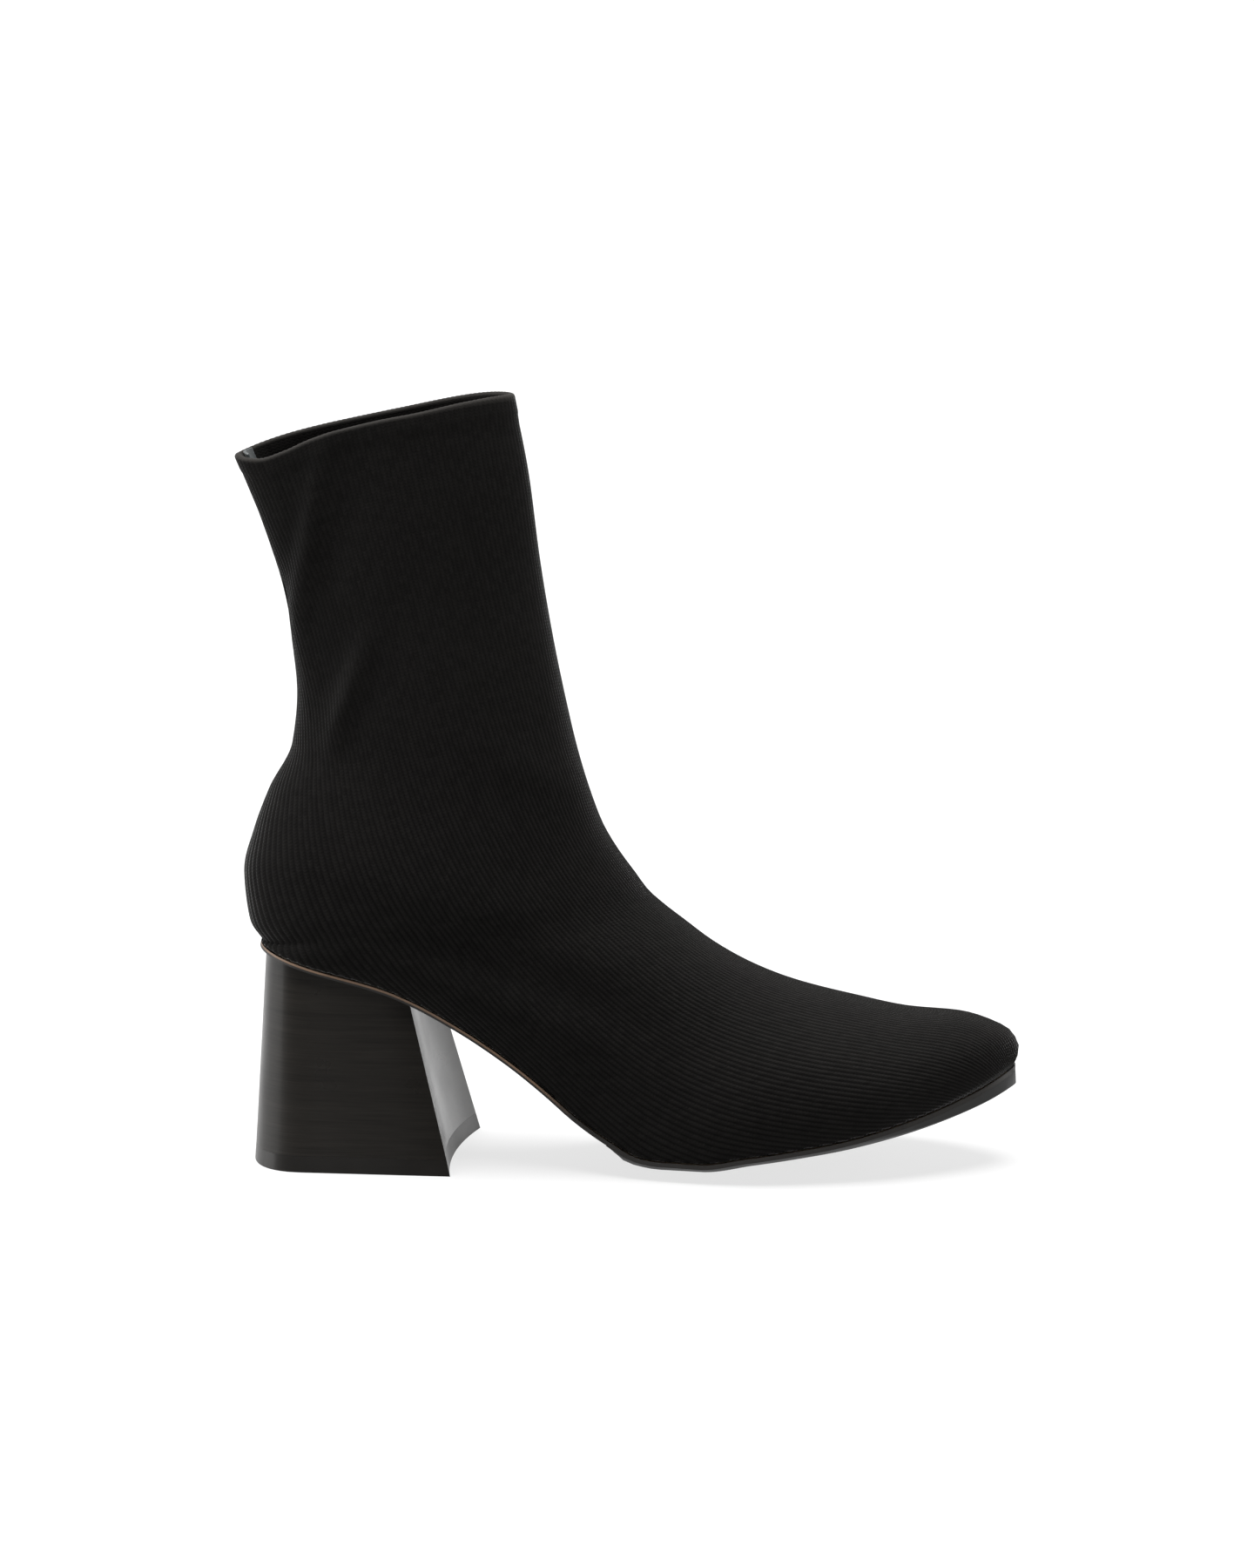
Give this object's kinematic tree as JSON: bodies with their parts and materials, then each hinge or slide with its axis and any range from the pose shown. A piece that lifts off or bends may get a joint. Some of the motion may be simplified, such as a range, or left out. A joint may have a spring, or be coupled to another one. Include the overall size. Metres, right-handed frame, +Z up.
{
  "type": "sock boot",
  "caption": "Ankle-high sock boot for the right foot, with a ribbed knit tube upper, almond toe, thin sole and flared block heel.",
  "frame": {"origin": "on the floor, under the middle of the boot's bounding box", "axes": "+X towards the toe, +Y towards the inner side of the foot, +Z up"},
  "size_m": [0.2436, 0.0792, 0.2381],
  "materials": {
    "knit": "matt black fine-ribbed stretch knit",
    "insole_lining": "smooth tan leather lining",
    "outsole_leather": "thin tan sole with a bare edge",
    "tread_rubber": "matt black rubber",
    "heel_cover": "dark stacked heel, waxed to a soft shine",
    "lift_rubber": "matt black rubber",
    "tape": "satin woven tape"
  },
  "bodies": {
    "root": {"upper": "knit", "insole": "insole_lining", "outsole": "outsole_leather", "tread": "tread_rubber", "heel": "heel_cover", "top_lift": "lift_rubber", "back_tape": "tape"}
  },
  "joints": []
}
